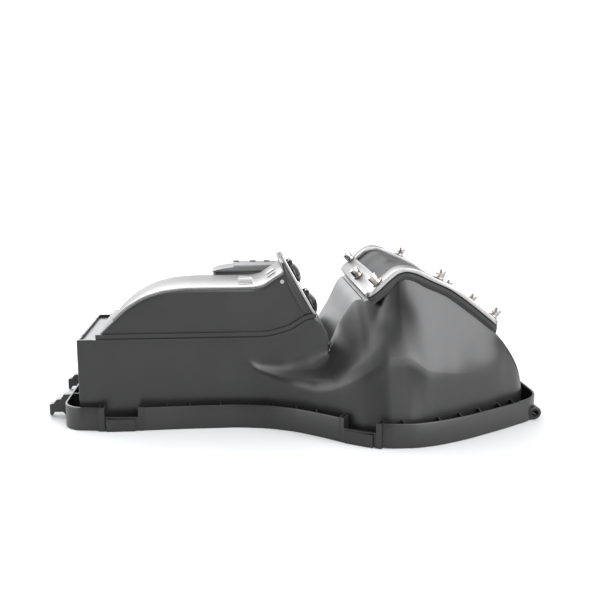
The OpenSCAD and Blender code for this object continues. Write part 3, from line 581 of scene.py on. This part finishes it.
def rim_with_seats():
    """The flange and its band with the seal's groove, cut for the clips, and what stands at the clips."""
    profile = [(0, 0.25), (0.25, 0), (4.6, 0), (4.6, 1.2), (9.4, 1.2), (9.4, 0), (15.6, 0), (15.6, FLANGE_T),
               (3.2, FLANGE_T), (2.6, FLANGE_T + 0.6), (2.3, RIM_H - 0.5), (1.9, RIM_H - 0.1),
               (0.7, RIM_H - 0.1), (0.2, RIM_H - 0.5), (0, RIM_H - 1.1)]
    loops = [rim_loop(d) for d, _ in profile]
    rings = [[(*loop[i], z) for loop, (_, z) in zip(loops, profile)] for i in range(len(loops[0]))]
    rim = tube("rim", rings, closed=True)
    adds = []
    for seat in CLIP_SEATS:
        gap, more = clip_seat(*seat)
        boolean(rim, gap, "DIFFERENCE")
        adds += more
    return rim, adds


def rim_ribs():
    ribs = [rib(x, rim_near(x) + sqrt(1 + tilt(x) ** 2), 0, RIM_OUT + 13) for x in RIBS_NEAR]
    ribs += [rib(x, rim_far(x) - sqrt(1 + tilt_far(x) ** 2), 180, RIM_OUT + 9) for x in RIBS_FAR]
    for y in RIBS_END:
        # the last place is inside the box end's corner
        if y < LEFT_Y2:
            ribs.append(rib(RIM_LEFT + 1, y, -90, 17))
        ribs.append(rib(RIM_RIGHT - 1, y, 90, 15))
    return ribs


def shell_fittings():
    """Hooks, eye, rail, lip and bosses."""
    origin = (KNUCKLE_X, KNUCKLE_Y, KNUCKLE_Z)
    eye = [(5.4, 0), (6.6, 0.3), (KNUCKLE_R, 1), (KNUCKLE_R, KNUCKLE_LEN - 1), (6.6, KNUCKLE_LEN - 0.3),
           (5.4, KNUCKLE_LEN)]
    far = KNUCKLE_Y + KNUCKLE_LEN - 0.3
    out = [hook(56, RIM_LEFT + BAND_T - 0.5), hook(158, -130),
           turned("eye", eye, origin, (0, 1, 0)),
           block("eye foot", (353, KNUCKLE_Y + 0.3, 0.7), (KNUCKLE_X, far, 13.6)),
           foot_band("rail", BOX_NEAR - 1.2, BOX_NEAR + 2, -3.5, -0.02, ARCH_LEFT - 3, 125),
           top_band("lip", FRAME_NEAR + 2.5, FRAME_FAR - 2.5, -LIP_IN, -LIP_IN - LIP_T)]
    for b in BOLTS:
        p, a = bolt_axis(b, -LIP_IN - 12)
        out.append(turned("boss", [(BOSS_R, 0), (BOSS_R, 11)], p, a, 32))
    return out


def shell_cuts():
    """The step in the box's top, the duct's mouth, the window, two notches, and all holes."""
    wall, near, far = BOX_LEFT + WALL_T, BOX_NEAR + WALL_T, BOX_FAR - WALL_T
    strip = STRIP_W + 2
    cuts = [block("step", (wall, near, BOX_H - STEP_H), (ARCH_LEFT + 1, far, BOX_H + 7)),
            block("mouth", (-92, 30, 80), (108, 96, 140)),
            block("window", (WINDOW_LEFT, FRAME_NEAR + strip, 60), (WINDOW_RIGHT, FRAME_FAR - strip, 180))]
    for y in (36, 127):
        cuts.append(block("notch", (BOX_LEFT - 1, y, BOX_H - 1.6), (wall + 1, y + 3, BOX_H + 2.4)))
    for b in BOLTS:
        p, a = bolt_axis(b, -LIP_IN - 9.5)
        cuts.append(turned("insert", [(INSERT_R, 0), (INSERT_R, 30)], p, a, 32))
    bore = [(KNUCKLE_BORE, -1), (KNUCKLE_BORE, KNUCKLE_LEN + 1)]
    cuts.append(turned("eye hole", bore, (KNUCKLE_X, KNUCKLE_Y, KNUCKLE_Z), (0, 1, 0), 48))
    return cuts


def build_shell():
    shell = shell_outer()
    rim, adds = rim_with_seats()
    for part in [rim] + adds + rim_ribs() + shell_fittings():
        boolean(shell, part, "UNION")
    for part in [shell_inner()] + shell_cuts():
        boolean(shell, part, "DIFFERENCE")
    shell.name = "moulded_shell"
    smooth(shell, 28)
    finish_piece(shell, "housing", "moulded_black", "lower_shell")


# ---------------------------------------------------------------- covered duct
ARCH_X = [-107, -90, -72, -50.5, -29, -8, 24, 55, 67.6, 81.3, 92]
ARCH_Z = [97, 113.5, 128.8, 140, 145.2, 146.8, 146.9, 146.9, 149, 157.2, 163.8]
ROOT = (93.5, 175.0)
DOWN = (cos(radians(SLOPE)), -sin(radians(SLOPE)))
OUT = (sin(radians(SLOPE)), cos(radians(SLOPE)))
BLOCK_OUT = -PLATE_T - GASKET_T
BLOCK_IN = BLOCK_OUT - BLOCK_T
ROOF_END = 91.65


def on_port(s, v):
    return (ROOT[0] + s * DOWN[0] + v * OUT[0], ROOT[1] + s * DOWN[1] + v * OUT[1])


def arch(x):
    return curve(ARCH_X, ARCH_Z, x)


def arch_sec(x, d):
    """The duct's section at x, moved in by d: up the near side, over two rounded edges, and down."""
    z0 = crest(min(x, 118)) + SEAL_T + (-1 if d > 0 else 1)
    z1 = max(arch(x) - d, z0 + 0.4)
    r = max(min(DUCT_ROUND - d * 0.8, (z1 - z0) * 0.9), 0.2)
    a, b = DUCT_NEAR + d, DUCT_FAR - d
    turns = [radians(90 * i / 8) for i in range(9)]
    near = [(x, a + r - r * cos(w), z1 - r + r * sin(w)) for w in turns]
    far = [(x, b - r + r * cos(w), z1 - r + r * sin(w)) for w in turns[::-1]]
    side = [(x, a, z0)] + [(x, a, z0 + (z1 - r - z0) * i / 4) for i in range(1, 4)]
    other = [(x, b, z0 + (z1 - r - z0) * i / 4) for i in range(3, 0, -1)] + [(x, b, z0)]
    return side + near + far + other


def slot_cutter(y, low, high, extra=0.0):
    """A round-ended slot, its long way up the ramp, cut along the ramp's normal."""
    along = Vector((cos(radians(SLOT_SLOPE)), 0, sin(radians(SLOT_SLOPE))))
    up = Vector((-along.z, 0, along.x))
    mid = Vector((SLOT_X, y, arch(SLOT_X)))
    r = SLOT_R + extra
    outline = []
    for i in range(24):
        a = radians(i * 15 - 82.5)
        reach = SLOT_REACH * (1 if cos(a) > 0 else -1)
        outline.append(mid + along * (reach + r * cos(a)) + Vector((0, r * sin(a), 0)))
    return tube("slot", [[p + up * h for p in outline] for h in (low, high)])


def build_duct():
    xs = stations(ARCH_LEFT, 124, 2.4)
    duct = tube("duct", [arch_sec(x, 0) for x in xs])
    near, far, top = BOX_NEAR - 1.2, BOX_FAR - 0.5, SEAL_T + FOOT_T
    boolean(duct, foot_band("foot", near, far, SEAL_T, top, ARCH_LEFT, FOOT_END), "UNION")
    for x in (30, 76):
        boolean(duct, block("pad", (x - 6, 112.5, 100), (x + 6, 146.5, 105)), "UNION")
    boolean(duct, tube("bore", [arch_sec(x, DUCT_T) for x in xs if x > -100]), "DIFFERENCE")
    roof_s = (ROOF_END - ROOT[0] - BLOCK_IN * OUT[0]) / DOWN[0]
    end = [(ROOF_END, 200), on_port(roof_s, BLOCK_IN), on_port(90, BLOCK_IN), (200, 100), (200, 200)]
    boolean(duct, across("end", -5, 165, end), "DIFFERENCE")
    boolean(duct, foot_band("foot end", near, 13.9, SEAL_T, top, 105, 124), "UNION")
    for x, y in UNIT_HOLES:
        boolean(duct, turned("hole", [(1.6, 0), (1.6, 10)], (x, y, 101), (0, 0, 1), 24), "DIFFERENCE")
    for y in SLOT_YS:
        boolean(duct, slot_cutter(y, -12, 9, 1.6), "DIFFERENCE")
    duct.name = "moulded_duct"
    bevel(duct, 0.35, 2, 50)
    bake_modifiers(duct)
    smooth(duct, 35)
    finish_piece(duct, "housing", "moulded_black", "duct_shell")


def build_cover():
    xs = stations(COVER_LEFT, COVER_END - 3, 2.2)
    low = [(x, arch(x)) for x in xs] + [(COVER_END, arch(COVER_END)), (88.3, 174.4)]
    top = [(87, 174), (COVER_END - 1.9, arch(COVER_END) + COVER_T + 0.4)]
    for x in xs[::-1]:
        k = arch(x + 0.5) - arch(x - 0.5)
        s = sqrt(1 + k * k)
        top.append((x - COVER_T * k / s, arch(x) + COVER_T / s))
    cover = across("cover", COVER_NEAR, COVER_FAR, low + top)
    flat = arch(50) + COVER_T
    for y in TAB_YS:
        boolean(cover, block("tab", (43, y - 4.5, flat - 0.2), (58, y + 4.5, flat + 0.5)), "UNION")
        boolean(cover, block("groove", (44.2, y - 3.3, flat + 0.1), (56.8, y + 3.3, flat + 2)), "DIFFERENCE")
    for y in SLOT_YS:
        # the relief under each slot leaves only a thin edge round it
        boolean(cover, slot_cutter(y, -6, 9), "DIFFERENCE")
        boolean(cover, slot_cutter(y, -6, COVER_T - 0.45, 1.6), "DIFFERENCE")
    cover.name = "cover_sheet"
    bevel(cover, 0.35, 2, 45)
    bake_modifiers(cover)
    smooth(cover, 30)
    finish_piece(cover, "housing", "brushed_sheet", "cover_plate")


# ---------------------------------------------------------------- window on the hump
def corner_cut(x, y, sx, sy):
    """What is left outside a rounded corner whose square point is (x, y)."""
    r = CORNER_R
    pts = [(x - sx * 6, y - sy * 6), (x + sx * r, y - sy * 6)]
    for i in range(13):
        w = radians(90 * i / 12)
        pts.append((x + sx * (r - r * sin(w)), y + sy * (r - r * cos(w))))
    pts.append((x - sx * 6, y + sy * r))
    return plate("corner", 60, 200, pts)


def cut_corners(ob):
    for x, y, sx, sy in [(FRAME_LEFT, FRAME_NEAR, 1, 1), (FRAME_RIGHT, FRAME_NEAR, -1, 1),
                         (FRAME_RIGHT, FRAME_FAR, -1, -1), (FRAME_LEFT, FRAME_FAR, 1, -1)]:
        boolean(ob, corner_cut(x, y, sx, sy), "DIFFERENCE")


def window_block():
    """What fills the window, with its corners rounded."""
    x0, x1, y0, y1, r = WINDOW_LEFT, WINDOW_RIGHT, FRAME_NEAR + STRIP_W, FRAME_FAR - STRIP_W, 1.6
    pts = []
    for cx, cy, start in [(x0 + r, y0 + r, 180), (x1 - r, y0 + r, 270),
                          (x1 - r, y1 - r, 0), (x0 + r, y1 - r, 90)]:
        pts += arc_points(cx, cy, r, [start + 22.5 * i for i in range(5)])
    return plate("cut", 60, 220, pts)


def cut_bolt_holes(ob, depth, steps):
    for b in BOLTS:
        p, a = bolt_axis(b, depth)
        boolean(ob, turned("hole", [(BOLT_HOLE_R, 0), (BOLT_HOLE_R, 14)], p, a, steps), "DIFFERENCE")


def build_window():
    """The clamp frame, and the seal under the membrane's edge."""
    rows = [("clamp_sheet", "clamp_frame", 0, FRAME_T, "brushed_sheet", 0.7),
            ("window_seal", "window_gasket", -LIP_IN + 0.01, -MEMBRANE_T - 0.1, "seal_rubber", 0.5)]
    for name, node, d0, d1, slot_name, edge in rows:
        ob = top_band(name, FRAME_NEAR, FRAME_FAR, d0, d1, step=1.8)
        cut_corners(ob)
        boolean(ob, window_block(), "DIFFERENCE")
        cut_bolt_holes(ob, d0 - 4, 40)
        bevel(ob, edge, 3, 40)
        bake_modifiers(ob)
        smooth(ob, 30)
        finish_piece(ob, "housing", slot_name, node)


def fade(distance, width):
    return max(0.0, min(1, distance / width))


def slack(u, v, creases):
    """Height of the membrane's sag and creases, which die away towards the frame."""
    inside = fade(u - 0.12, 0.14) * fade(0.88 - u, 0.14) * fade(v - 0.11, 0.12) * fade(0.89 - v, 0.12)
    h = -1.1 * sin(pi * u) * sin(pi * v)
    for cu, cv, lean, w, a in creases:
        t = (u - cu) + lean * (v - cv)
        h += a * exp(-(t / w) ** 2) * exp(-((v - cv) / 0.35) ** 2)
    return h * inside


def sheet_faces(nx, ny):
    """Faces of a grid of points, of its copy below, and of the strip that joins their edges."""
    n = (nx + 1) * (ny + 1)
    w = ny + 1
    faces = []
    for i in range(nx):
        for j in range(ny):
            a = i * w + j
            faces.append((a, a + w, a + w + 1, a + 1))
            faces.append((n + a, n + a + 1, n + a + w + 1, n + a + w))
    edge = (list(range(w)) + [i * w + ny for i in range(1, nx + 1)]
            + [nx * w + j for j in range(ny - 1, -1, -1)] + [i * w for i in range(nx - 1, 0, -1)])
    for a, b in zip(edge, edge[1:] + edge[:1]):
        faces.append((a, b, n + b, n + a))
    return faces


def build_membrane():
    """A thin sheet over the hump's window, held down by the frame, with slanting slack creases."""
    inset = 0.6
    x0, x1, y0, y1 = FRAME_LEFT + inset, FRAME_RIGHT - inset, FRAME_NEAR + inset, FRAME_FAR - inset
    nx, ny = 90, 130
    rnd = random.Random(11)
    creases = [(rnd.uniform(0.1, 0.9), rnd.uniform(0.1, 0.9), rnd.uniform(-0.9, -0.2),
                rnd.uniform(0.025, 0.05), rnd.uniform(0.7, 1.4)) for _ in range(12)]
    top, low = [], []
    for i in range(nx + 1):
        for j in range(ny + 1):
            u, v = i / nx, j / ny
            x = x0 + (x1 - x0) * u
            y = y0 + (y1 - y0) * v
            h = slack(u, v, creases)
            p = top_p(x, -0.06 + h)
            q = top_p(x, -MEMBRANE_T + 0.02 + h)
            top.append(place((p[0], y, p[1])))
            low.append(place((q[0], y, q[1])))
    ob = mesh_object("membrane", top + low, sheet_faces(nx, ny))
    cut_corners(ob)
    cut_bolt_holes(ob, -6, 32)
    smooth(ob, 40)
    finish_piece(ob, "housing", "membrane_grey", "window_membrane")


# ---------------------------------------------------------------- CAD nodes that stay
def new_group(name):
    """A geometry node group that welds doubled points, with its open socket and its output."""
    g = bpy.data.node_groups.new(name, "GeometryNodeTree")
    for way in ("INPUT", "OUTPUT"):
        g.interface.new_socket("Geometry", in_out=way, socket_type="NodeSocketGeometry")
    start, end = g.nodes.new("NodeGroupInput"), g.nodes.new("NodeGroupOutput")
    merge = g.nodes.new("GeometryNodeMergeByDistance")
    merge.inputs["Distance"].default_value = WELD_GAP * MM
    g.links.new(start.outputs[0], merge.inputs["Geometry"])
    return g, merge.outputs["Geometry"], end.inputs[0]


def angle_shading():
    """Geometry nodes that shade smooth and keep edges sharper than 32 degrees."""
    g, welded, out = new_group("shade by angle")
    angle = g.nodes.new("GeometryNodeInputMeshEdgeAngle")
    sharper = g.nodes.new("FunctionNodeCompare")
    sharper.data_type = "FLOAT"
    sharper.operation = "GREATER_THAN"
    sharper.inputs[1].default_value = radians(32)
    faces = g.nodes.new("GeometryNodeSetShadeSmooth")
    faces.domain = "FACE"
    edges = g.nodes.new("GeometryNodeSetShadeSmooth")
    edges.domain = "EDGE"
    flip = g.nodes.new("FunctionNodeBooleanMath")
    flip.operation = "NOT"
    g.links.new(welded, faces.inputs["Geometry"])
    g.links.new(faces.outputs["Geometry"], edges.inputs["Geometry"])
    g.links.new(angle.outputs["Unsigned Angle"], sharper.inputs[0])
    g.links.new(sharper.outputs["Result"], flip.inputs[0])
    g.links.new(flip.outputs[0], edges.inputs["Shade Smooth"])
    g.links.new(edges.outputs["Geometry"], out)
    return g


def weld_group():
    g, welded, out = new_group("weld")
    g.links.new(welded, out)
    return g


def dress_nodes():
    """Materials, small bevels and shading for the CAD nodes that no piece replaces."""
    shade = angle_shading()
    weld = weld_group()
    slots = {s["node"]: s["material_slot"] for s in frame["record"]["subparts"]}
    rounded = {"port_block": 0.5, "port_plate": 0.3, "actuator_housing": 0.5, "actuator_lid": 0.6,
               "hinge_lugs": 0.25, "frame_screws": 0.5, "frame_washers": 0.2, "port_gasket": 0.1}
    gone = ("lower_shell", "duct_shell", "cover_plate", "clamp_frame", "window_gasket", "window_membrane")
    for n in [n for n in nodes if n not in gone]:
        ob = nodes[n]
        paint(ob, slots[n])
        first = ob.modifiers.new("weld", "NODES")
        first.node_group = weld
        if n in rounded:
            bevel(ob, rounded[n], 2, 35)
        last = ob.modifiers.new("shade", "NODES")
        last.node_group = shade


# ---------------------------------------------------------------- floor, light, camera
def build_floor():
    mat, nt, b, co = new_material("pale floor")
    feed(nt, b, "Base Color", noise(nt, co, 3, 3), [(0.2, grey(0.42)), (0.8, grey(0.45))])
    b.inputs["Roughness"].default_value = 0.8
    half_side, z = 6000 * MM, -0.4 * MM
    corners = [Vector((x * half_side, y * half_side, z)) for x, y in ((-1, -1), (1, -1), (1, 1), (-1, 1))]
    floor = mesh_object("floor", corners, [(0, 1, 2, 3)])
    floor.data.materials.append(mat)


AMBIENT = 0.26
# soft patches of light: direction, outer and inner angle in degrees, strength
PATCHES = [((0.60, -0.60, 0.52), 50, 20, 6.4), ((-0.38, 0.66, 0.64), 42, 14, 4.6),
           ((-1, -0.15, 0.1), 46, 16, 3.8), ((0, 1, 0.1), 75, 25, 0.85), ((0, 0, 1), 60, 20, 0.7)]


def lobe(wn, gen, direction, wide, tight, value):
    """A soft patch of light: full inside the tight angle, none outside the wide one."""
    d = wn.nodes.new("ShaderNodeVectorMath")
    d.operation = "DOT_PRODUCT"
    wn.links.new(gen, d.inputs[0])
    d.inputs[1].default_value = Vector(direction).normalized()
    r = wn.nodes.new("ShaderNodeMapRange")
    r.interpolation_type = "SMOOTHSTEP"
    r.inputs["From Min"].default_value = cos(radians(wide))
    r.inputs["From Max"].default_value = cos(radians(tight))
    r.inputs["To Min"].default_value = 0.0
    r.inputs["To Max"].default_value = value
    wn.links.new(d.outputs["Value"], r.inputs["Value"])
    return r.outputs["Result"]


def build_light():
    world = bpy.data.worlds.new("studio")
    bpy.context.scene.world = world
    world.use_nodes = True
    wn = world.node_tree
    gen = wn.nodes.new("ShaderNodeTexCoord").outputs["Generated"]
    level = None
    for patch in PATCHES:
        m = wn.nodes.new("ShaderNodeMath")
        m.operation = "ADD"
        if level is None:
            m.inputs[0].default_value = AMBIENT
        else:
            wn.links.new(level, m.inputs[0])
        wn.links.new(lobe(wn, gen, *patch), m.inputs[1])
        level = m.outputs[0]
    bg = wn.nodes["Background"]
    wn.links.new(level, bg.inputs["Strength"])
    bg.inputs["Color"].default_value = (0.98, 0.985, 1.0, 1)


def build_camera():
    data = bpy.data.cameras.new("camera")
    data.lens = 48
    data.sensor_width = 36
    cam = bpy.data.objects.new("camera", data)
    cam.location = (-0.06331, -0.89625, 0.28541)
    cam.rotation_euler = Vector((0.0808, 0.9806, -0.1783)).to_track_quat("-Z", "Y").to_euler()
    bpy.context.scene.collection.objects.link(cam)
    bpy.context.scene.camera = cam
    bpy.context.scene.view_settings.view_transform = "Standard"


build_shell()
build_duct()
build_cover()
build_window()
build_membrane()
dress_nodes()
build_floor()
build_light()
build_camera()
